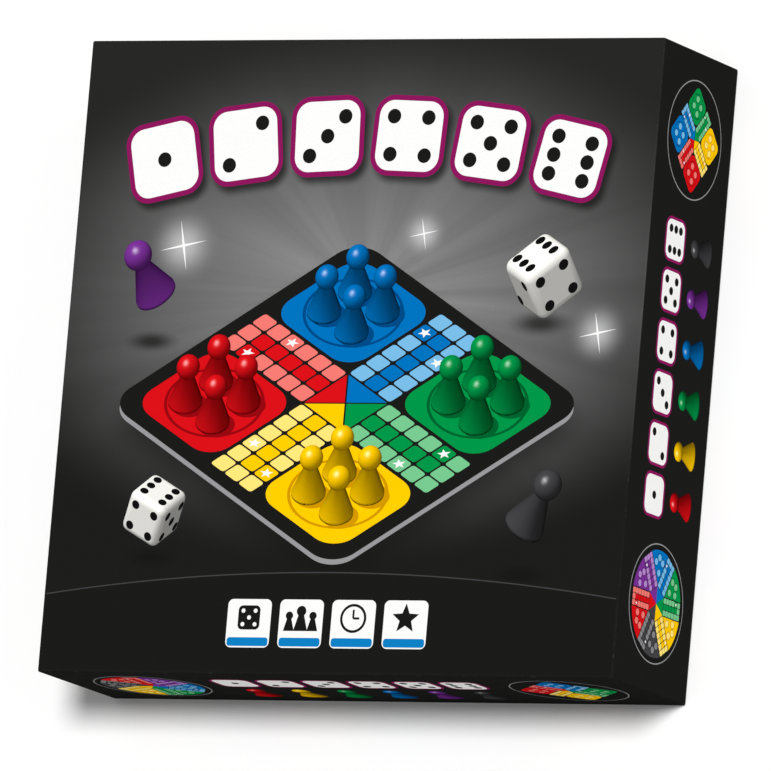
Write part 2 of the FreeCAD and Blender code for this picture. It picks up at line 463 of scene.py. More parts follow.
@dataclass(frozen=True)
class LidPaper(Finish):
    """The lid's wrap: charcoal with a soft glow and faint rays, soft shades and lights, and worn folds."""

    shades: tuple[SoftSpot, ...]
    lights: tuple[SoftSpot, ...]
    name: str = "lid_paper"
    dark: Colour = linear((28, 28, 27))
    upper: Colour = linear((38, 38, 37))
    glow: Colour = linear((132, 132, 132))
    halo: Colour = linear((236, 236, 238))
    upper_rise: Pair = (-0.06, 0.12)
    glow_middle: Pair = (0.005, 0.026)
    glow_reach: Pair = (0.190, 0.118)
    rays: float = 3.2
    ray_span: Pair = (0.78, 1.17)
    shade: float = 0.82
    shade_tint: float = 0.7
    light: float = 0.5
    light_fall: float = 2.2
    wear: FoldWear = FoldWear("lid_wrap", reach=0.0007, scuffs=520.0)

    def patches(
        self, surface: Surface, spots: Sequence[SoftSpot], strength: float, fall: float = 1.0
    ) -> Socket:
        """The soft patches of one kind.

        Args:
            surface: The material.
            spots: The patches.
            strength: How strong they are in their cores.
            fall: The power by which they fade towards their rims.

        Returns:
            How strong they are at a point.
        """
        strongest, *others = [spot.mask(surface) for spot in spots]
        for mask in others:
            strongest = surface.maths("MAXIMUM", strongest, mask)
        return surface.maths("MULTIPLY", surface.maths("POWER", strongest, fall), strength)

    def paint(self, surface: Surface) -> None:
        """Lays the ground out from its charcoal up to its wear.

        Args:
            surface: The material.
        """
        _, y, z = surface.axes(surface.coords())
        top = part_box("lid_wrap")[1].z
        on_top = surface.span(z, top - self.wear.reach, top - self.wear.reach / 2)
        rise = surface.maths("MULTIPLY", surface.span(y, *self.upper_rise), on_top)
        colour = surface.blend(rise, self.dark, self.upper)
        spread = surface.patch(surface.coords(), (*self.glow_middle, 0), (*self.glow_reach, FLATTENED))
        bright = surface.span(surface.vector("LENGTH", spread), 1.0, 0.0, way="SMOOTHSTEP")
        rays = surface.noise(self.rays, detail=3, vector=surface.vector("NORMALIZE", spread))
        bright = surface.maths("MULTIPLY", bright, surface.between(rays, self.ray_span))
        colour = surface.blend(surface.maths("MULTIPLY", bright, on_top), colour, self.glow)
        shade = self.patches(surface, self.shades, self.shade)
        colour = surface.blend(shade, colour, tinted(self.dark, self.shade_tint))
        light = self.patches(surface, self.lights, self.light, self.light_fall)
        colour = surface.blend(light, colour, self.halo)
        PrintFilm(Stock.LID).cover(surface, self.wear.rub(surface, colour))


@dataclass(frozen=True)
class BlackPaper(Finish):
    """Plain black paper with a satin film and worn folds."""

    wear: FoldWear
    ink: Colour = linear((26, 26, 26))
    grain: float = 900.0
    grain_tint: Pair = (0.85, 1.2)
    mottle: float = 260.0
    dullness: Pair = (0.42, 0.56)
    shine: float = 0.02
    dimples: float = 1500.0
    bump: Pair = (0.10, 0.00004)

    @property
    def name(self) -> str:
        """The name of the paper and the node that it covers."""
        return f"black_paper_{self.wear.node}"

    def paint(self, surface: Surface) -> None:
        """Lays out the black, its wear and its film.

        Args:
            surface: The material.
        """
        shade = surface.varied(surface.noise(self.grain, detail=4), self.ink, self.grain_tint)
        surface.set(Base_Color=self.wear.rub(surface, shade))
        mottle, dimples = surface.noise(self.mottle), surface.noise(self.dimples, detail=3)
        surface.skin(mottle, self.dullness, self.shine, dimples, self.bump)


@dataclass(frozen=True)
class PulpBoard(Finish):
    """Grey recycled board with fibres and darker flecks."""

    name: str = "pulp_board"
    grey: Colour = linear((164, 158, 148))
    fleck: Colour = linear((92, 86, 80))
    clouds: float = 70.0
    cloud_tint: Pair = (0.86, 1.12)
    fibres: float = 1100.0
    fibre_stretch: Triple = (1.0, 0.35, 1.0)
    fibre_span: Pair = (0.45, 0.75)
    fibre_strength: float = 0.35
    fibre_tint: float = 1.3
    flecks: float = 420.0
    fleck_rim: Pair = (0.10, 0.16)
    fleck_strength: float = 0.75
    dullness: Pair = (0.82, 0.95)
    shine: float = 0.25
    bump: Pair = (0.35, 0.00008)

    def paint(self, surface: Surface) -> None:
        """Lays out the pulp's clouds, fibres and flecks.

        Args:
            surface: The material.
        """
        cloud = surface.varied(surface.noise(self.clouds, detail=5), self.grey, self.cloud_tint)
        fibre = surface.noise(self.fibres, detail=4, stretch=self.fibre_stretch)
        light = surface.span(fibre, *self.fibre_span, 0.0, self.fibre_strength)
        fibrous = surface.blend(light, cloud, tinted(self.grey, self.fibre_tint))
        speck = surface.span(surface.flecks(self.flecks), *self.fleck_rim, self.fleck_strength, 0.0)
        surface.set(Base_Color=surface.blend(speck, fibrous, self.fleck))
        surface.skin(fibre, self.dullness, self.shine, fibre, self.bump)


@dataclass(frozen=True)
class FoldingCard(Finish):
    """White-lined folding card, grey where it is cut across."""

    name: str
    faces_along_y: bool
    face: Colour = linear((224, 223, 218))
    face_clouds: float = 90.0
    face_tint: Pair = (0.93, 1.0)
    core: Colour = linear((168, 160, 148))
    core_tint: Pair = (0.8, 1.15)
    fibres: float = 900.0
    fibre_stretch: float = 0.4
    turned: Pair = (0.8, 0.95)
    dullness: Pair = (0.55, 0.72)
    shine: float = 0.35
    bump: Pair = (0.12, 0.00005)

    def paint(self, surface: Surface) -> None:
        """Lays out the lining and the cut core, by which way the card faces.

        Args:
            surface: The material.
        """
        stretch = (1, 1, self.fibre_stretch) if self.faces_along_y else (self.fibre_stretch, 1, 1)
        fibre = surface.noise(self.fibres, detail=4, stretch=stretch)
        lining = surface.varied(surface.noise(self.face_clouds, detail=4), self.face, self.face_tint)
        cut = surface.varied(fibre, self.core, self.core_tint)
        normal = surface.axes(surface.node("NewGeometry").outputs["Normal"])
        along_y = surface.span(surface.maths("ABSOLUTE", normal[1]), *self.turned)
        across, along = (cut, lining) if self.faces_along_y else (lining, cut)
        surface.set(Base_Color=surface.blend(along_y, across, along))
        surface.skin(fibre, self.dullness, self.shine, fibre, self.bump)


@dataclass(frozen=True)
class FibrousPaper(Finish):
    """Uncoated paper, whose fibres show in its colour, its dullness and its relief."""

    name: str
    colour: Colour
    tint: Pair
    fibres: float
    stretch: Triple
    dullness: Pair
    shine: float
    bump: Pair

    def paint(self, surface: Surface) -> None:
        """Lays out the fibres.

        Args:
            surface: The material.
        """
        fibre = surface.noise(self.fibres, detail=5, stretch=self.stretch)
        surface.set(Base_Color=surface.varied(fibre, self.colour, self.tint))
        surface.skin(fibre, self.dullness, self.shine, fibre, self.bump)


LEAFLET_PAPER = FibrousPaper(
    "leaflet_paper", linear((238, 237, 232)), tint=(0.93, 1.03), fibres=1300.0, stretch=(1.0, 1.0, 1.0),
    dullness=(0.78, 0.90), shine=0.3, bump=(0.15, 0.00004),
)
KRAFT_TAPE = FibrousPaper(
    "kraft_tape", linear((170, 128, 84)), tint=(0.8, 1.15), fibres=800.0, stretch=(1.0, 1.0, 0.2),
    dullness=(0.70, 0.85), shine=0.5, bump=(0.20, 0.00005),
)


@dataclass(frozen=True)
class MouldedPlastic(Finish):
    """Glossy moulded polystyrene in one colour, faintly rippled and rubbed."""

    plastic: str
    display: tuple[int, int, int]
    gloss: Pair = (0.16, 0.30)
    clouds: float = 160.0
    cloud_tint: Pair = (0.9, 1.1)
    rubs: float = 700.0
    rub_span: Pair = (0.35, 0.7)
    ripples: float = 420.0
    bump: Pair = (0.08, 0.00004)
    refraction: float = 1.55

    @property
    def name(self) -> str:
        """The plastic's name as a material."""
        return f"plastic_{self.plastic}"

    def paint(self, surface: Surface) -> None:
        """Lays out the colour, the rubbed gloss and the ripples.

        Args:
            surface: The material.
        """
        cloud = surface.noise(self.clouds, detail=3)
        surface.set(Base_Color=surface.varied(cloud, linear(self.display), self.cloud_tint))
        rubbed = surface.noise(self.rubs, detail=4, roughness=0.65)
        surface.set(Roughness=surface.span(rubbed, *self.rub_span, *self.gloss), IOR=self.refraction)
        surface.relief(surface.noise(self.ripples), self.bump)


@dataclass(frozen=True)
class PaleFloor(Finish):
    """A plain pale studio floor."""

    name: str = "pale_floor"
    white: Colour = (0.98, 0.98, 0.98)
    clouds: float = 3.0
    cloud_tint: Pair = (0.995, 1.005)
    dullness: float = 0.9
    shine: float = 0.1

    def paint(self, surface: Surface) -> None:
        """Lays out the white."""
        surface.set(Base_Color=surface.varied(surface.noise(self.clouds), self.white, self.cloud_tint))
        surface.set(Roughness=self.dullness, Specular_IOR_Level=self.shine)


def placed(x: float, y: float, turn: float = 0.0, size: float = 1.0) -> Matrix:
    """Carries a flat shape to a spot on a print, turned anticlockwise and sized, but no thicker."""
    turned = Matrix.Translation((x, y, 0)) @ Matrix.Rotation(turn, 4, "Z")
    return turned @ Matrix.Diagonal((size, size, 1, 1))


def spaced(count: int, pitch: float) -> list[float]:
    """Even places in a row about its middle."""
    return [(step - (count - 1) / 2) * pitch for step in range(count)]


def disc(radius: float, segments: int = 40) -> Shape:
    """A flat round spot.

    Args:
        radius: Its radius.
        segments: How many edges it has.

    Returns:
        The flat shape about its middle.
    """
    shape = bmesh.new()
    bmesh.ops.create_circle(shape, cap_ends=True, radius=radius, segments=segments)
    return shape


def panel(width: float, height: float, corner: float = 0.0, steps: int = 8) -> Shape:
    """A flat rectangle with round corners.

    Args:
        width: Across.
        height: Up.
        corner: The corners' radius.
        steps: Edges to a corner.

    Returns:
        The flat shape about its middle.
    """
    shape = bmesh.new()
    bmesh.ops.create_grid(shape, x_segments=1, y_segments=1, size=0.5)
    bmesh.ops.scale(shape, vec=(width, height, 1), verts=shape.verts)
    if corner > 0:
        corners = shape.verts[:]
        bmesh.ops.bevel(
            shape, geom=corners, offset=corner, affect="VERTICES", segments=steps, profile=0.5, material=-1
        )
    return shape


def taper(foot: float, neck: float, height: float) -> Shape:
    """A flat cone outline that stands on y = 0.

    Args:
        foot: Its width at the foot.
        neck: Its width at the top.
        height: How tall it is.

    Returns:
        The flat shape.
    """
    shape = panel(foot, height)
    top = [vert for vert in shape.verts if vert.co.y > 0]
    bmesh.ops.scale(shape, vec=(neck / foot, 1, 1), verts=top)
    bmesh.ops.translate(shape, vec=(0, height / 2, 0), verts=shape.verts)
    return shape


def star(outer: float, inner: float, points: int = 5) -> Shape:
    """A flat star with one point up.

    Args:
        outer: The radius of its points.
        inner: The radius of its waist.
        points: How many points it has.

    Returns:
        The flat shape about its middle.
    """
    shape = disc(outer, 2 * points)
    bmesh.ops.scale(shape, vec=(inner / outer,) * 3, verts=list(shape.verts)[1::2])
    shape.verts.ensure_lookup_table()
    first = shape.verts[0].co
    turn = math.pi / 2 - math.atan2(first.y, first.x)
    bmesh.ops.rotate(shape, matrix=Matrix.Rotation(turn, 3, "Z"), verts=shape.verts)
    return shape


def trimmed(shape: Shape, point: Sequence[float], outward: Sequence[float]) -> Shape:
    """A flat shape without what lies beyond a line.

    Args:
        shape: The shape, which is changed.
        point: A point of the line.
        outward: The direction that is cut away.

    Returns:
        The same shape.
    """
    everything = shape.verts[:] + shape.edges[:] + shape.faces[:]
    bmesh.ops.bisect_plane(
        shape, geom=everything, plane_co=(*point, 0), plane_no=(*outward, 0), clear_outer=True, dist=1e-7
    )
    return shape


def wedge(radius: float, sweep: float) -> Shape:
    """A slice of a disc, its point at the middle and its axis up the print.

    Args:
        radius: The disc's radius.
        sweep: The angle at its point, in radians.

    Returns:
        The flat shape.
    """
    shape = disc(radius, segments=72)
    for side in (1, -1):
        trimmed(shape, (0, 0), (side * math.cos(sweep / 2), -math.sin(sweep / 2)))
    return shape


def thicken(shape: Shape, depth: float) -> None:
    """Makes a flat shape a closed film.

    Args:
        shape: The shape, which is changed.
        depth: The film's thickness, along +Z.
    """
    raised = bmesh.ops.extrude_face_region(shape, geom=shape.faces[:])["geom"]
    top = [part for part in raised if isinstance(part, bmesh.types.BMVert)]
    bmesh.ops.translate(shape, vec=(0, 0, depth), verts=top)


def absorb(sheet: Shape, shape: Shape) -> None:
    """Adds a shape's mesh to a sheet.

    Args:
        sheet: What it is added to.
        shape: The shape, which is used up.
    """
    stamp = bpy.data.meshes.new("stamp")
    shape.to_mesh(stamp)
    shape.free()
    sheet.from_mesh(stamp)
    bpy.data.meshes.remove(stamp)


def settle(name: str, shape: Shape, finishes: Sequence[Finish], body: str) -> None:
    """Makes a shape an object that rides on a body.

    Args:
        name: The piece's name.
        shape: Its mesh in the frame, which is used up.
        finishes: Its finishes, in the order of its faces' indices.
        body: The body that it moves with.
    """
    mesh = bpy.data.meshes.new(name)
    shape.to_mesh(mesh)
    shape.free()
    for finish in finishes:
        mesh.materials.append(finish.material())
    piece = bpy.data.objects.new(name, mesh)
    bpy.context.scene.collection.objects.link(piece)
    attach(piece, body)
    LOG.info("%s: %d faces on %s", name, len(mesh.polygons), body)


def dress(node: str, finish: Finish) -> None:
    """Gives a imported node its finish.

    Args:
        node: The node's name.
        finish: How it looks.
    """
    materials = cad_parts[node].data.materials
    materials.clear()
    materials.append(finish.material())
    LOG.info("%s: dressed as %s", node, finish.name)


def face_matrix(across: Sequence[float], up: Sequence[float], middle: Sequence[float]) -> Matrix:
    """The place of a print by its directions in the frame and its middle, with its Z outwards."""
    x, y = Vector(across), Vector(up)
    return Matrix.Translation(middle) @ Matrix((x, y, x.cross(y))).transposed().to_4x4()


@dataclass
class InkPlate:
    """Flat ink shapes on one face of a piece, each a thin closed film."""

    name: str
    face: Matrix
    stock: Stock
    sheet: Shape = field(default_factory=bmesh.new)
    inks: list[Ink] = field(default_factory=list)

    def lay(self, shape: Shape, ink: Ink, place: Matrix, layer: int) -> None:
        """Lays a shape down as a film.

        Args:
            shape: The flat shape, which is used up.
            ink: Its colour.
            place: Where it goes on the face.
            layer: How many films it lies over.
        """
        if ink not in self.inks:
            self.inks.append(ink)
        thicken(shape, INK_FILM)
        for part in shape.faces:
            part.material_index = self.inks.index(ink)
        lifted = self.face @ Matrix.Translation((0, 0, layer * INK_FILM)) @ place
        bmesh.ops.transform(shape, matrix=lifted, verts=shape.verts)
        absorb(self.sheet, shape)

    def ring(
        self, radii: Pair, inks: tuple[Ink, Ink], place: Matrix, layer: int, segments: int = 40
    ) -> None:
        """Lays a disc down with a smaller one over it."""
        for step, (radius, ink) in enumerate(zip(radii, inks)):
            self.lay(disc(radius, segments), ink, place, layer + step)

    def finish(self, body: str, slot: str) -> None:
        """Makes the print an object that rides on a body."""
        settle(self.name, self.sheet, [FilmedInk(ink, self.stock) for ink in self.inks], body)


@dataclass
class PicturePlate:
    """Solids pictured on one face of a piece: shaded, then pressed flat as a printed relief."""

    name: str
    face: Matrix
    relief: float = 0.00003
    light: Vector = field(default_factory=lambda: Vector((-0.45, 0.60, 0.66)).normalized())
    ambient: float = 0.30
    diffuse: float = 0.85
    rim_fall: float = 0.22
    shine: float = 0.45
    shine_power: float = 60.0
    picture: PrintedPicture = PrintedPicture()
    sheet: Shape = field(default_factory=bmesh.new)

    def tone(self, colour: Colour, normal: Vector) -> tuple[float, float, float, float]:
        """The printed tone of a spot on a glossy solid.

        Args:
            colour: The solid's own colour.
            normal: Which way the spot faces, with +Z out of the print.

        Returns:
            Linear red, green, blue and alpha.
        """
        lit = max(0.0, normal.dot(self.light))
        half = (self.light + Vector((0, 0, 1))).normalized()
        shine = self.shine * max(0.0, normal.dot(half)) ** self.shine_power
        rim = (1 - max(0.0, normal.z)) ** 2
        body = self.ambient + self.diffuse * lit - self.rim_fall * rim
        return (*(min(1.0, part * body + shine) for part in colour), 1.0)

    def press(self, solid: Shape, colours: Sequence[Colour], attitude: Matrix, place: Matrix) -> None:
        """Pictures a solid.

        Args:
            solid: The solid, which is used up. Its faces' material indices choose among the colours.
            colours: The solid's colours.
            attitude: How the solid is turned and sized, with +Z out of the print.
            place: Where its origin goes, and how high its relief starts over the face.
        """
        solid.normal_update()
        tones = solid.loops.layers.float_color.new(self.picture.tones)
        turn = attitude.to_3x3()
        for part in solid.faces:
            for loop in part.loops:
                normal = (turn @ (loop.vert.normal if part.smooth else part.normal)).normalized()
                loop[tones] = self.tone(colours[part.material_index], normal)
        for part in solid.faces:
            part.material_index = 0
            part.smooth = False
        bmesh.ops.transform(solid, matrix=attitude, verts=solid.verts)
        depths = [vert.co.z for vert in solid.verts]
        low, high = min(depths), max(depths)
        flat = Matrix.Diagonal((1, 1, self.relief / (high - low), 1)) @ Matrix.Translation((0, 0, -low))
        bmesh.ops.transform(solid, matrix=self.face @ place @ flat, verts=solid.verts)
        absorb(self.sheet, solid)

    def mark(self, spots: Shape, colour: Colour, attitude: Matrix, place: Matrix) -> None:
        """Pictures flat marks on a turned solid, as an even film over its relief.

        Args:
            spots: The flat marks, which are used up and face out of the print once turned.
            colour: Their colour.
            attitude: How the solid is turned and sized, with +Z out of the print.
            place: Where the solid's origin goes, and how high its relief starts over the face.
        """
        tones = spots.loops.layers.float_color.new(self.picture.tones)
        bmesh.ops.transform(spots, matrix=attitude, verts=spots.verts)
        bmesh.ops.scale(spots, vec=(1, 1, 0), verts=spots.verts)
        thicken(spots, self.relief)
        for part in spots.faces:
            for loop in part.loops:
                loop[tones] = (*colour, 1.0)
        lifted = self.face @ Matrix.Translation((0, 0, self.relief)) @ place
        bmesh.ops.transform(spots, matrix=lifted, verts=spots.verts)
        absorb(self.sheet, spots)

    def finish(self, body: str, slot: str) -> None:
        """Makes the pictures an object that rides on a body."""
        settle(self.name, self.sheet, [self.picture], body)


@dataclass(frozen=True)
class LudoField(ABC):
    """A ludo field with a yard, an arm of three lanes and a home for each seat. Its sizes are in cells."""

    seats: tuple[Seat, ...] = ()
    cells: float = 15.0
    lanes: tuple[int, ...] = (-1, 0, 1)
    lane_cells: int = 6
    starred: tuple[tuple[int, int], ...] = ((-1, 4),)
    square: float = 0.90
    square_corner: float = 0.14
    star: Pair = (0.34, 0.14)
    home_share: float = 0.97
    home_gap: float = 0.0
    home_spots: tuple[Pair, ...] = ()
    spot: Pair = (0.72, 0.57)

    def draw(self, plate: InkPlate, place: Matrix, size: float, layer: int) -> None:
        """Prints the field.

        Args:
            plate: The print.
            place: Where the field's middle goes.
            size: The field's width.
            layer: The lowest film.
        """
        sweep = 2 * math.pi / len(self.seats)
        hub = len(self.lanes) / 2 / math.tan(sweep / 2)
        for number, seat in enumerate(self.seats):
            turned = place @ placed(0, 0, -number * sweep, size / self.cells)
            self.draw_yard(plate, turned, seat, layer)
            self.draw_arm(plate, turned @ placed(0, hub), seat, layer)
            home = trimmed(wedge(2 * hub, sweep), (0, self.home_share * hub), (0, 1))
            plate.lay(home, seat.full, turned @ placed(0, self.home_gap), layer)

    @abstractmethod
    def draw_yard(self, plate: InkPlate, place: Matrix, seat: Seat, layer: int) -> None:
        """Prints a seat's yard with its home spots."""

    def draw_spots(self, plate: InkPlate, place: Matrix, seat: Seat, layer: int) -> None:
        """Prints the home spots of a yard."""
        for across, up in self.home_spots:
            plate.ring(self.spot, (seat.deep, seat.pale), place @ placed(across, up), layer)

    def draw_arm(self, plate: InkPlate, place: Matrix, seat: Seat, layer: int) -> None:
        """Prints the lanes of a seat's arm. The first starred square is where the seat's pawns start.

        Args:
            plate: The print.
            place: Where the middle of the arm's foot goes.
            seat: Whose arm it is.
            layer: The lowest film.
        """
        for lane in self.lanes:
            for row in range(self.lane_cells):
                cell = place @ placed(lane, row + 0.5)
                homeward = lane == 0 and row < self.lane_cells - 1
                ink = seat.full if homeward or (lane, row) == self.starred[0] else seat.pale
                plate.lay(panel(self.square, self.square, self.square_corner, steps=2), ink, cell, layer)
                if (lane, row) in self.starred:
                    plate.lay(star(*self.star), Ink.WHITE, cell, layer + 1)


@dataclass(frozen=True)
class CrossField(LudoField):
    """The traditional four-seat field: a cross of lanes with a yard in each of its corners."""

    seats: tuple[Seat, ...] = (Seat.RED, Seat.BLUE, Seat.GREEN, Seat.YELLOW)
    starred: tuple[tuple[int, int], ...] = ((-1, 4), (1, 3))
    home_share: float = 0.92
    home_gap: float = 0.06
    home_spots: tuple[Pair, ...] = ((-1, -1), (-1, 1), (1, -1), (1, 1))
    spot: Pair = (0.78, 0.62)
    yard: float = 5.7
    yard_corner: float = 1.3
    yard_offset: float = 4.5
    yard_ring: Pair = (2.45, 2.30)

    def yards(self) -> list[tuple[Seat, Pair]]:
        """The seats with the middles of their yards, clockwise from the upper left."""
        near, far = -self.yard_offset, self.yard_offset
        return list(zip(self.seats, ((near, far), (far, far), (far, near), (near, near))))

    def draw_yard(self, plate: InkPlate, place: Matrix, seat: Seat, layer: int) -> None:
        """Prints a seat's yard in the corner left of its arm.

        Args:
            plate: The print.
            place: The field's middle, turned so that the seat's arm goes up.
            seat: Whose yard it is.
            layer: The lowest film.
        """
        middle = place @ placed(-self.yard_offset, self.yard_offset)
        plate.lay(panel(self.yard, self.yard, self.yard_corner), seat.full, middle, layer)
        plate.ring(self.yard_ring, (seat.deep, seat.full), middle, layer + 1, segments=56)
        self.draw_spots(plate, middle, seat, layer + 3)


@dataclass(frozen=True)
class StarField(LudoField):
    """A round six-seat field: six arms about a hexagon, with a yard between each two."""

    seats: tuple[Seat, ...] = (Seat.RED, Seat.PURPLE, Seat.BLUE, Seat.GREEN, Seat.YELLOW, Seat.BLACK)
    cells: float = 17.5
    home_spots: tuple[Pair, ...] = ((0, 5.05), (-1.15, 6.75), (1.15, 6.75), (0, 7.55))
    yard_gap: float = 1.62

    def draw_yard(self, plate: InkPlate, place: Matrix, seat: Seat, layer: int) -> None:
        """Prints a seat's yard between its arm and the one left of it.

        Args:
            plate: The print.
            place: The field's middle, turned so that the seat's arm goes up.
            seat: Whose yard it is.
            layer: The lowest film.
        """
        half = math.pi / len(self.seats)
        middle = place @ placed(0, 0, half)
        yard = disc(self.cells / 2, segments=96)
        for side in (-1, 1):
            outward = Vector((side * math.cos(half), -math.sin(half)))
            trimmed(yard, -self.yard_gap * outward, outward)
        plate.lay(yard, seat.full, middle, layer)
        self.draw_spots(plate, middle, seat, layer + 1)


@dataclass(frozen=True)
class DieFace:
    """A die's face as a flat sign: a white square of side 1 with black pips, inside an outline."""

    pip: float = 0.105
    spread: float = 0.27
    corner: float = 0.22
    outline: float = 0.075

    def pips(self, value: int) -> list[tuple[int, int]]:
        """The places of a value's pips.

        Args:
            value: How many pips there are.

        Returns:
            Each pip's steps across and up from the middle.
        """
        pairs = [((-1, -1), (1, 1)), ((-1, 1), (1, -1)), ((-1, 0), (1, 0))]
        found = [spot for pair in pairs[: value // 2] for spot in pair]
        return found + [(0, 0)] * (value % 2)

    def draw(self, plate: InkPlate, place: Matrix, value: int) -> None:
        """Prints the face on the bare ground.

        Args:
            plate: The print.
            place: Where its middle goes, and its size.
            value: How many pips it shows.
        """
        grown = 1 + 2 * self.outline
        plate.lay(panel(grown, grown, self.corner + self.outline), Ink.MAGENTA, place, 0)
        plate.lay(panel(1, 1, self.corner), Ink.WHITE, place, 1)
        for across, up in self.pips(value):
            spot = place @ placed(across * self.spread, up * self.spread)
            plate.lay(disc(self.pip, segments=28), Ink.BLACK, spot, 2)


@dataclass(frozen=True)
class PawnForm:
    """The real pawn's turned form, as a pictured solid."""

    height: float = extent("red_pawn_1").z
    foot: float = extent("red_pawn_1").x / 2
    foot_band: float = 0.0014
    neck: float = 0.0032
    head: float = 0.00575
    head_steps: int = 14
    turns: int = 44
    hollow: Colour = linear((70, 70, 70))
    underside: float = -0.9

    def solid(self) -> Shape:
        """The closed pawn.

        Returns:
            The pawn, standing on the origin, with its underside as a second colour.
        """
        shape = bmesh.new()
        middle = self.height - self.head
        end = math.pi - math.asin(self.neck / self.head)
        angles = [end * step / self.head_steps for step in range(self.head_steps + 1)]
        outline = [(self.head * math.sin(a), middle + self.head * math.cos(a)) for a in angles]
        outline += [(self.foot, self.foot_band), (self.foot, 0.0), (0.0, 0.0)]
        verts = [shape.verts.new((x, 0, z)) for x, z in outline]
        edges = [shape.edges.new(pair) for pair in zip(verts, verts[1:])]
        bmesh.ops.spin(
            shape, geom=verts + edges, cent=(0, 0, 0), axis=(0, 0, 1), angle=2 * math.pi, steps=self.turns,
            use_merge=True, dvec=(0, 0, 0),
        )
        bmesh.ops.remove_doubles(shape, verts=shape.verts, dist=1e-6)
        bmesh.ops.recalc_face_normals(shape, faces=shape.faces)
        for part in shape.faces:
            part.smooth = part.normal.z > self.underside
            part.material_index = 0 if part.smooth else 1
        return shape

    def draw(self, pictures: PicturePlate, seat: Seat, attitude: Matrix, place: Sequence[float]) -> None:
        """Pictures a pawn, turned and sized, with its foot at a place and height."""
        colours = [linear(seat.full.value), self.hollow]
        pictures.press(self.solid(), colours, attitude, Matrix.Translation(place))


@dataclass(frozen=True)
class DieForm:
    """The real die, rounded and with pips, as a pictured solid."""

    size: float = extent("die").x
    rounding: float = 0.0026
    pip: float = 0.0016
    spread: float = 0.0042
    shown: float = 0.08
    ivory: Colour = linear((246, 245, 240))
    black: Colour = linear((16, 16, 16))
    faces: tuple[tuple[int, Triple], ...] = (
        (6, (0, 0, 1)), (1, (0, 0, -1)), (5, (1, 0, 0)), (2, (-1, 0, 0)), (4, (0, -1, 0)), (3, (0, 1, 0)),
    )

    def solid(self) -> Shape:
        """The closed die without its pips.

        Returns:
            The die about its middle, with its rounded edges shaded smooth.
        """
        shape = bmesh.new()
        bmesh.ops.create_cube(shape, size=self.size)
        edges = shape.edges[:]
        bmesh.ops.bevel(
            shape, geom=edges, offset=self.rounding, affect="EDGES", segments=5, profile=0.5, material=-1
        )
        for part in shape.faces:
            part.smooth = part.calc_area() < self.rounding * self.size
        return shape

    def marks(self, attitude: Matrix) -> Shape:
        """The pips on the faces that a turned die shows.

        Args:
            attitude: How the die is turned, with +Z out of the print.

        Returns:
            Flat spots in the die's own frame.
        """
        shape = bmesh.new()
        for value, outward in self.faces:
            if (attitude.to_3x3() @ Vector(outward)).normalized().z < self.shown:
                continue
            upright = Vector(outward).to_track_quat("Z", "Y").to_matrix().to_4x4()
            for across, up in DieFace().pips(value):
                spot = upright @ Matrix.Translation((across * self.spread, up * self.spread, self.size / 2))
                bmesh.ops.create_circle(shape, cap_ends=True, radius=self.pip, segments=24, matrix=spot)
        return shape

    def draw(self, pictures: PicturePlate, attitude: Matrix, place: Sequence[float]) -> None:
        """Pictures a die.

        Args:
            pictures: The print.
            attitude: How it is turned and sized, with +Z out of the print.
            place: Where its middle goes, and how high its relief starts.
        """
        spot = Matrix.Translation(place)
        pictures.press(self.solid(), [self.ivory], attitude, spot)
        pictures.mark(self.marks(attitude), self.black, attitude, spot)


@dataclass(frozen=True)
class TileRow:
    """The lid's row of small white tiles. A tile's side is 1 for the sizes of what is on it."""

    size: float = 0.0205
    pitch: float = 0.0245
    height: float = -0.1135
    layer: int = 2
    corner: float = 0.12
    bar: Triple = (0.94, 0.18, 0.06)
    bar_height: float = -0.38
    sign_height: float = 0.12
    die: Triple = (0.5, 0.5, 0.1)
    pip: float = 0.045
    pip_spread: float = 0.14
    pawns: tuple[Pair, ...] = ((-0.27, 0.40), (0.27, 0.40), (0.0, 0.52))
    pawn_foot: float = -0.27
    pawn_cone: Triple = (0.62, 0.20, 0.72)
    pawn_head: float = 0.21
    clock: Pair = (0.30, 0.245)
    clock_hands: Pair = (0.18, 0.14)
    hand_width: float = 0.045
    star: Pair = (0.32, 0.14)

    def draw(self, plate: InkPlate) -> None:
        """Prints the row over the lid's band.

        Args:
            plate: The print.
        """
        for across, sign in zip(spaced(len(TileSign), self.pitch), TileSign):
            tile = placed(across, self.height, size=self.size)
            plate.lay(panel(1, 1, self.corner), Ink.WHITE, tile, self.layer)
            plate.lay(panel(*self.bar), Ink.TILE_BLUE, tile @ placed(0, self.bar_height), self.layer + 1)
            self.draw_sign(plate, sign, tile @ placed(0, self.sign_height), self.layer + 1)

    def draw_sign(self, plate: InkPlate, sign: TileSign, place: Matrix, layer: int) -> None:
        """Prints a tile's sign.

        Args:
            plate: The print.
            sign: Which it is.
            place: Where its middle goes.
            layer: The lowest film.
        """
        if sign is TileSign.DIE:
            plate.lay(panel(*self.die), Ink.BLACK, place, layer)
            for across, up in DieFace().pips(5):
                spot = place @ placed(across * self.pip_spread, up * self.pip_spread)
                plate.lay(disc(self.pip, segments=20), Ink.WHITE, spot, layer + 1)
        elif sign is TileSign.PAWNS:
            for across, height in self.pawns:
                foot = place @ placed(across, self.pawn_foot, size=height)
                plate.lay(taper(*self.pawn_cone), Ink.BLACK, foot, layer)
                head = foot @ placed(0, 1 - self.pawn_head)
                plate.lay(disc(self.pawn_head, segments=28), Ink.BLACK, head, layer + 1)
        elif sign is TileSign.CLOCK:
            plate.ring(self.clock, (Ink.BLACK, Ink.WHITE), place, layer)
            up, across = self.clock_hands
            plate.lay(panel(self.hand_width, up), Ink.BLACK, place @ placed(0, up / 2), layer + 2)
            plate.lay(panel(across, self.hand_width), Ink.BLACK, place @ placed(across / 2, 0), layer + 3)
        else:
            plate.lay(star(*self.star), Ink.BLACK, place, layer)


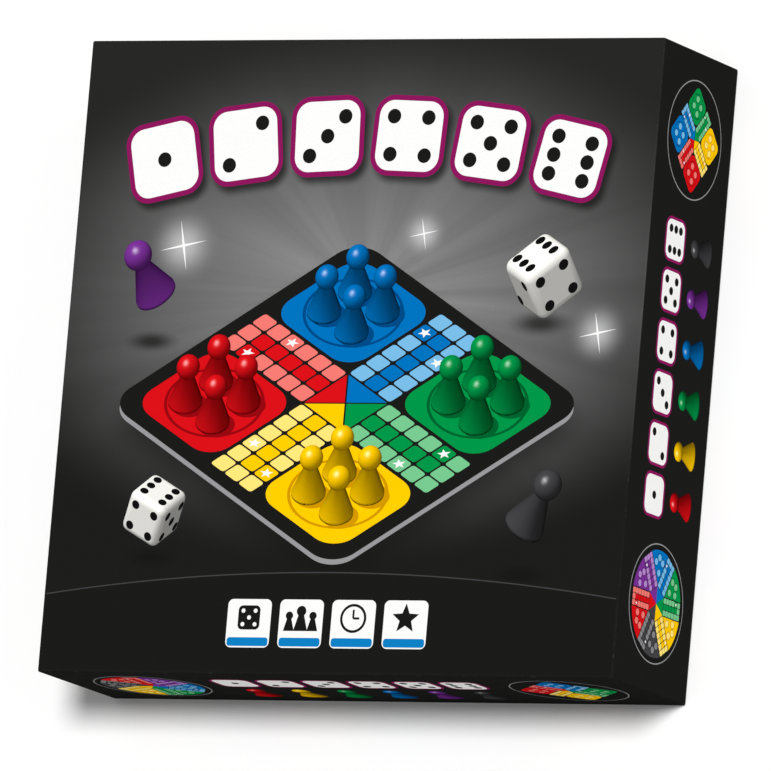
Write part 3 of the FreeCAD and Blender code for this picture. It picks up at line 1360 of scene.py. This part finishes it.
@dataclass(frozen=True)
class FloatingPiece:
    """A piece pictured in the air over the lid's ground: a pawn, or a die where it has no seat."""

    place: Pair
    turns: Triple
    size: float
    shadow: float
    seat: Optional[Seat] = None

    def draw(self, pictures: PicturePlate) -> None:
        """Pictures the piece.

        Args:
            pictures: The print.
        """
        attitude = Euler(self.turns).to_matrix().to_4x4() @ Matrix.Scale(self.size, 4)
        if self.seat is None:
            DieForm().draw(pictures, attitude, (*self.place, 0))
        else:
            PawnForm().draw(pictures, self.seat, attitude, (*self.place, 0))


class LidPicture(ABC):
    """What is printed on one face of the lid."""

    @abstractmethod
    def draw(self, plate: InkPlate, pictures: PicturePlate) -> None:
        """Prints the face's flat inks and its shaded pictures."""


@dataclass(frozen=True)
class TopPicture(LidPicture):
    """The print on the lid's top: a row of die faces, a board with pawns, loose pieces and a black band."""

    half: float
    sign_size: float = 0.0300
    sign_pitch: float = 0.0385
    sign_arc: float = 0.45
    sign_top: float = 0.094
    sign_drop: Pair = (0.0022, -0.0026)
    sign_softness: Triple = (0.5, 0.86, 1.14)
    board_size: float = 0.146
    board_middle: Pair = (0.0, -0.020)
    board_tilt: float = 0.62
    board_edge: float = 0.0022
    board_drop: float = 0.008
    board_softness: Triple = (0.3, 0.82, 1.18)
    ground_share: float = 1.09
    ground_corner: float = 0.014
    pawn_size: float = 0.95
    pawn_layer: int = 8
    pawn_shadow: float = 0.875
    pawn_shadow_drop: Pair = (0.22, -0.10)
    band_top: float = -0.092
    band_arc: float = 0.9
    rule_low: float = -0.115
    rule_width: float = 0.0005
    print_margin: float = 0.0012
    floating: tuple[FloatingPiece, ...] = (
        FloatingPiece((-0.094, 0.026), turns=(-1.0, 0.0, 0.55), size=1.15, shadow=0.030, seat=Seat.PURPLE),
        FloatingPiece((0.088, -0.072), turns=(-1.05, 0.0, -0.5), size=1.15, shadow=0.030, seat=Seat.BLACK),
        FloatingPiece((0.088, 0.034), turns=(-1.0, 0.25, 0.65), size=1.55, shadow=0.036),
        FloatingPiece((-0.086, -0.066), turns=(-0.9, -0.35, -0.5), size=1.3, shadow=0.030),
    )
    float_drop: float = 0.020
    float_flatness: float = 0.36
    sparkles: tuple[Triple, ...] = ((-0.083, 0.047, 0.011), (0.115, 0.010, 0.009), (0.030, 0.052, 0.007))
    sparkle_waist: float = 0.07
    sparkle_turn: float = 0.2
    halo_share: float = 2.0

    def signs(self) -> list[Triple]:
        """The die faces' places along their arc, across and up, and their turns.

        Returns:
            Three numbers for each face, from left to right.
        """
        arc = self.sign_arc
        angles = spaced(DIE_FACES, self.sign_pitch / arc)
        return [(arc * math.sin(a), self.sign_top - arc * (1 - math.cos(a)), -a) for a in angles]

    def paper(self) -> LidPaper:
        """The wrap's ground.

        Returns:
            The paper's finish, with the soft shadows and halos of what is printed over it.
        """
        half = self.board_size * self.ground_share / 2
        x, y = self.board_middle
        softness = self.board_softness
        shades = [SoftSpot((x, y - self.board_drop), (half, half), math.pi / 4, self.board_tilt, *softness)]
        for piece in self.floating:
            (x, y), width = piece.place, piece.shadow / 2
            shades.append(SoftSpot((x, y - self.float_drop), (width, width * self.float_flatness)))
        half = self.sign_size * (0.5 + DieFace().outline)
        right, up = self.sign_drop
        for x, y, turn in self.signs():
            shades.append(SoftSpot((x + right, y + up), (half, half), turn, 1.0, *self.sign_softness))
        halos = [SoftSpot((x, y), (size * self.halo_share,) * 2, core=0.0) for x, y, size in self.sparkles]
        return LidPaper(tuple(shades), tuple(halos))

    def draw(self, plate: InkPlate, pictures: PicturePlate) -> None:
        """Prints the top.

        Args:
            plate: The print of the flat inks.
            pictures: The print of the shaded pictures.
        """
        self.draw_band(plate)
        for value, (x, y, turn) in enumerate(self.signs(), 1):
            DieFace().draw(plate, placed(x, y, turn, self.sign_size), value)
        self.draw_board(plate, pictures)
        TileRow().draw(plate)
        for x, y, size in self.sparkles:
            spot = placed(x, y, self.sparkle_turn, size)
            plate.lay(star(1, self.sparkle_waist, points=4), Ink.WHITE, spot, 0)
        for piece in self.floating:
            piece.draw(pictures)

    def draw_band(self, plate: InkPlate) -> None:
        """Prints the black band along the lid's lower edge, with a fine rule over its top.

        Args:
            plate: The print.
        """
        edge = self.half - self.print_margin
        band = disc(self.band_arc, segments=720)
        bmesh.ops.translate(band, vec=(0, self.band_top - self.band_arc, 0), verts=band.verts)
        for outward in ((1, 0), (-1, 0), (0, -1)):
            trimmed(band, tuple(edge * part for part in outward), outward)
        rule = trimmed(band.copy(), (0, self.rule_low), (0, -1))
        plate.lay(rule, Ink.COAL, placed(0, self.rule_width), 0)
        plate.lay(band, Ink.BLACK, Matrix.Identity(4), 1)

    def draw_board(self, plate: InkPlate, pictures: PicturePlate) -> None:
        """Prints the lying board and pictures the pawns in its yards, the nearer ones over the farther ones.

        Args:
            plate: The print of the flat inks.
            pictures: The print of the shaded pictures.
        """
        tilt = Matrix.Diagonal((1, self.board_tilt, 1, 1))
        lying = placed(*self.board_middle) @ tilt @ placed(0, 0, math.pi / 4)
        ground = self.board_size * self.ground_share
        for layer, ink, drop in ((0, Ink.SILVER, self.board_edge), (1, Ink.BLACK, 0.0)):
            sheet = panel(ground, ground, self.ground_corner, steps=12)
            plate.lay(sheet, ink, placed(0, -drop) @ lying, layer)
        board = CrossField()
        board.draw(plate, lying, self.board_size, 2)
        cell = self.board_size / board.cells
        right, up = self.pawn_shadow_drop
        standing = Matrix.Rotation(math.asin(self.board_tilt) - math.pi / 2, 4, "X")
        attitude = standing @ Matrix.Scale(self.pawn_size, 4)
        for seat, (x, y) in board.yards():
            for across, along in board.home_spots:
                spot = lying @ Vector(((x + across) * cell, (y + along) * cell, 0))
                shadow = placed(spot.x + right * cell, spot.y + up * cell, size=cell) @ tilt
                plate.lay(disc(self.pawn_shadow), seat.deep, shadow, self.pawn_layer - 1)
                nearness = 1 - (across + along) // 2
                height = self.pawn_layer * INK_FILM + nearness * pictures.relief
                PawnForm().draw(pictures, seat, attitude, (spot.x, spot.y, height))


@dataclass(frozen=True)
class SidePicture(LidPicture):
    """The print on a side of the lid: two round signs, and die faces and pawns in a row between them."""

    field_across: float = 0.098
    field_rim: Pair = (0.0252, 0.0247)
    star_size: float = 0.045
    cross_size: float = 0.0335
    pitch: float = 0.0215
    sign_size: float = 0.0165
    sign_height: float = 0.010
    pawn_size: float = 0.72
    pawn_height: float = -0.022
    pawn_tilt: float = -62.0

    def draw(self, plate: InkPlate, pictures: PicturePlate) -> None:
        """Prints the side.

        Args:
            plate: The print of the flat inks.
            pictures: The print of the shaded pictures.
        """
        for across in (-self.field_across, self.field_across):
            plate.ring(self.field_rim, (Ink.SILVER, Ink.BLACK), placed(across, 0), 0, segments=72)
        StarField().draw(plate, placed(-self.field_across, 0), self.star_size, 2)
        CrossField().draw(plate, placed(self.field_across, 0, math.pi / 4), self.cross_size, 2)
        standing = Matrix.Rotation(math.radians(self.pawn_tilt), 4, "X")
        attitude = standing @ Matrix.Scale(self.pawn_size, 4)
        for value, (across, seat) in enumerate(zip(spaced(DIE_FACES, self.pitch), Seat), 1):
            DieFace().draw(plate, placed(across, self.sign_height, size=self.sign_size), value)
            PawnForm().draw(pictures, seat, attitude, (across, self.pawn_height, 0))


@dataclass
class PrintedLid:
    """The lid: pulp board, corner tape, and a wrap with prints on its top and four sides."""

    body: str = "lid"
    slot: str = "printed_wrap"

    def build(self) -> None:
        """Dresses the lid's nodes and makes its prints."""
        low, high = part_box("lid_wrap")
        half = (high.x - low.x) / 2
        top = TopPicture(half)
        dress("lid_board", PulpBoard())
        dress("lid_corner_stays", KRAFT_TAPE)
        dress("lid_wrap", top.paper())
        self.build_print("top", face_matrix((1, 0, 0), (0, 1, 0), (0, 0, high.z)), top)
        middle = Vector((0, 0, (low.z + high.z) / 2))
        for side in Side:
            across, outward = side.value
            face = face_matrix(across, (0, 0, 1), Vector(outward) * half + middle)
            self.build_print(side.name.lower(), face, SidePicture())

    def build_print(self, name: str, face: Matrix, picture: LidPicture) -> None:
        """Makes the prints on one face of the lid.

        Args:
            name: The face's name.
            face: Its place.
            picture: What is printed on it.
        """
        plate = InkPlate(f"lid_{name}_print", face, Stock.LID)
        pictures = PicturePlate(f"lid_{name}_pictures", face)
        picture.draw(plate, pictures)
        plate.finish(self.body, self.slot)
        pictures.finish(self.body, self.slot)


@dataclass
class BaseTray:
    """The base under the lid: pulp board, corner tape and black paper."""

    wear_reach: float = 0.0008
    wear_scuffs: float = 480.0

    def build(self) -> None:
        """Dresses the base's nodes."""
        dress("base_board", PulpBoard())
        dress("base_corner_stays", KRAFT_TAPE)
        dress("base_wrap", BlackPaper(FoldWear("base_wrap", self.wear_reach, self.wear_scuffs)))


@dataclass
class CardInsert:
    """The folded insert and the dividers in its trough."""

    dividers: int = 6

    def build(self) -> None:
        """Dresses the insert's nodes."""
        dress("insert_card", FoldingCard("insert_card", faces_along_y=False))
        for number in range(1, self.dividers + 1):
            dress(f"insert_divider_{number}", FoldingCard("divider_card", faces_along_y=True))


@dataclass
class GameBoard:
    """The two-sided board: four seats on its front and six on its back."""

    body: str = "board"
    slot: str = "board_print"
    cross_margin: float = 0.0085
    star_margin: float = 0.0065

    def build(self) -> None:
        """Dresses the board's layers and prints both its faces."""
        dress("board_core", PulpBoard())
        dress("board_front_sheet", FilmedInk(Ink.BLACK, Stock.BOARD))
        dress("board_back_sheet", FilmedInk(Ink.BLACK, Stock.BOARD))
        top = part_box("board_front_sheet")[1].z
        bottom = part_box("board_back_sheet")[0].z
        side = extent("board_front_sheet").x
        front = InkPlate("board_front_print", face_matrix((1, 0, 0), (0, 1, 0), (0, 0, top)), Stock.BOARD)
        CrossField().draw(front, Matrix.Identity(4), side - 2 * self.cross_margin, 0)
        front.finish(self.body, self.slot)
        back = InkPlate("board_back_print", face_matrix((1, 0, 0), (0, -1, 0), (0, 0, bottom)), Stock.BOARD)
        StarField().draw(back, Matrix.Identity(4), side - 2 * self.star_margin, 0)
        back.finish(self.body, self.slot)


@dataclass
class RulesLeaflet:
    """The folded leaflet, with a plain diagram and grey bars in place of lines of words."""

    body: str = "leaflet"
    slot: str = "leaflet_paper"
    diagram_size: float = 0.080
    diagram_across: float = -0.045
    bars: int = 12
    bars_left: float = 0.012
    bars_top: float = 0.042
    bar_pitch: float = 0.0076
    bar_width: float = 0.070
    last_width: float = 0.042
    bar_height: float = 0.0022
    bar_corner: float = 0.0006
    paragraph: int = 4

    def build(self) -> None:
        """Dresses the leaflet and prints its front page."""
        dress("rules_leaflet", LEAFLET_PAPER)
        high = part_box("rules_leaflet")[1]
        plate = InkPlate("leaflet_print", face_matrix((1, 0, 0), (0, 1, 0), (0, 0, high.z)), Stock.LEAFLET)
        CrossField().draw(plate, placed(self.diagram_across, 0), self.diagram_size, 0)
        for number in range(self.bars):
            width = self.bar_width if (number + 1) % self.paragraph else self.last_width
            spot = placed(self.bars_left + width / 2, self.bars_top - number * self.bar_pitch)
            plate.lay(panel(width, self.bar_height, self.bar_corner, steps=2), Ink.SILVER, spot, 0)
        plate.finish(self.body, self.slot)


@dataclass
class PlayingPieces:
    """The pawns in six colours and the die."""

    per_colour: int = 4
    die: MouldedPlastic = MouldedPlastic("ivory", (240, 238, 230))
    pips: MouldedPlastic = MouldedPlastic("pip_paint", (20, 20, 20), gloss=(0.4, 0.6))

    def build(self) -> None:
        """Dresses the pawns and the die."""
        for plastic in PawnPlastic:
            colour = plastic.name.lower()
            for number in range(1, self.per_colour + 1):
                dress(f"{colour}_pawn_{number}", MouldedPlastic(colour, plastic.value))
        dress("die", self.die)
        dress("die_pips", self.pips)


@dataclass(frozen=True)
class SunLamp:
    """A soft light from far away."""

    name: str
    towards: Triple
    spread: float
    strength: float

    def build(self, scene: bpy.types.Scene) -> None:
        """Sets the lamp up where it shines from.

        Args:
            scene: The scene that it lights.
        """
        data = bpy.data.lights.new(self.name, "SUN")
        data.angle = math.radians(self.spread)
        data.energy = self.strength
        lamp = bpy.data.objects.new(self.name, data)
        turn = (-Vector(self.towards)).to_track_quat("-Z", "Y").to_matrix().to_4x4()
        lamp.matrix_world = Matrix.Translation(self.towards) @ turn
        scene.collection.objects.link(lamp)


@dataclass
class Studio:
    """A pale floor, soft light and a camera at the photograph's angle.

    The key light is high beyond the lid's top edge, and a weak one beside it.
    """

    lens_pixels: float = 19000.0
    eye: Triple = (3.6545, -1.2491, 7.0030)
    forward: Triple = (-0.45881, 0.15603, -0.87473)
    up: Triple = (-0.00314, 0.98417, 0.17720)
    sight: float = 100.0
    floor_reach: float = 40.0
    sky: float = 0.27
    lamps: tuple[SunLamp, ...] = (
        SunLamp("key_light", towards=(0.30, 0.122, 1.0), spread=12.5, strength=2.55),
        SunLamp("side_light", towards=(1.0, 0.25, 0.7), spread=25.0, strength=0.3),
    )

    def build(self) -> None:
        """Makes the camera, the floor and the lights."""
        scene = bpy.context.scene
        scene.view_settings.view_transform = "Standard"
        self.build_camera(scene)
        self.build_floor(scene)
        self.build_sky(scene)
        for lamp in self.lamps:
            lamp.build(scene)

    def build_camera(self, scene: bpy.types.Scene) -> None:
        """Sets the camera up along its line of sight.

        Args:
            scene: The scene that it sees.
        """
        data = bpy.data.cameras.new("camera")
        data.lens = self.lens_pixels * data.sensor_width / FRAME_PIXELS
        data.clip_end = self.sight
        camera = bpy.data.objects.new("camera", data)
        back = -Vector(self.forward).normalized()
        right = Vector(self.up).cross(back).normalized()
        turn = Matrix((right, back.cross(right), back)).transposed().to_4x4()
        camera.matrix_world = Matrix.Translation(self.eye) @ turn
        scene.collection.objects.link(camera)
        scene.camera = camera

    def build_floor(self, scene: bpy.types.Scene) -> None:
        """Lays the floor under the box.

        Args:
            scene: The scene that it is in.
        """
        shape = bmesh.new()
        bmesh.ops.create_grid(shape, x_segments=1, y_segments=1, size=self.floor_reach)
        mesh = bpy.data.meshes.new("floor")
        shape.to_mesh(mesh)
        shape.free()
        mesh.materials.append(PaleFloor().material())
        floor = bpy.data.objects.new("floor", mesh)
        scene.collection.objects.link(floor)

    def build_sky(self, scene: bpy.types.Scene) -> None:
        """Lights the scene evenly from all round.

        Args:
            scene: The scene that it lights.
        """
        world = bpy.data.worlds.new("studio_sky")
        world.use_nodes = True
        background = world.node_tree.nodes["Background"].inputs
        background["Strength"].default_value = self.sky
        background["Color"].default_value = (1, 1, 1, 1)
        scene.world = world


def main() -> None:
    """Builds the game piece by piece and sets the studio round it."""
    logging.basicConfig(level=logging.INFO)
    box = (PrintedLid(), BaseTray())
    contents = (CardInsert(), GameBoard(), RulesLeaflet(), PlayingPieces())
    for assembly in (*box, *contents, Studio()):
        assembly.build()
        LOG.info("%s done", type(assembly).__name__)


if __name__ == "__main__":
    main()
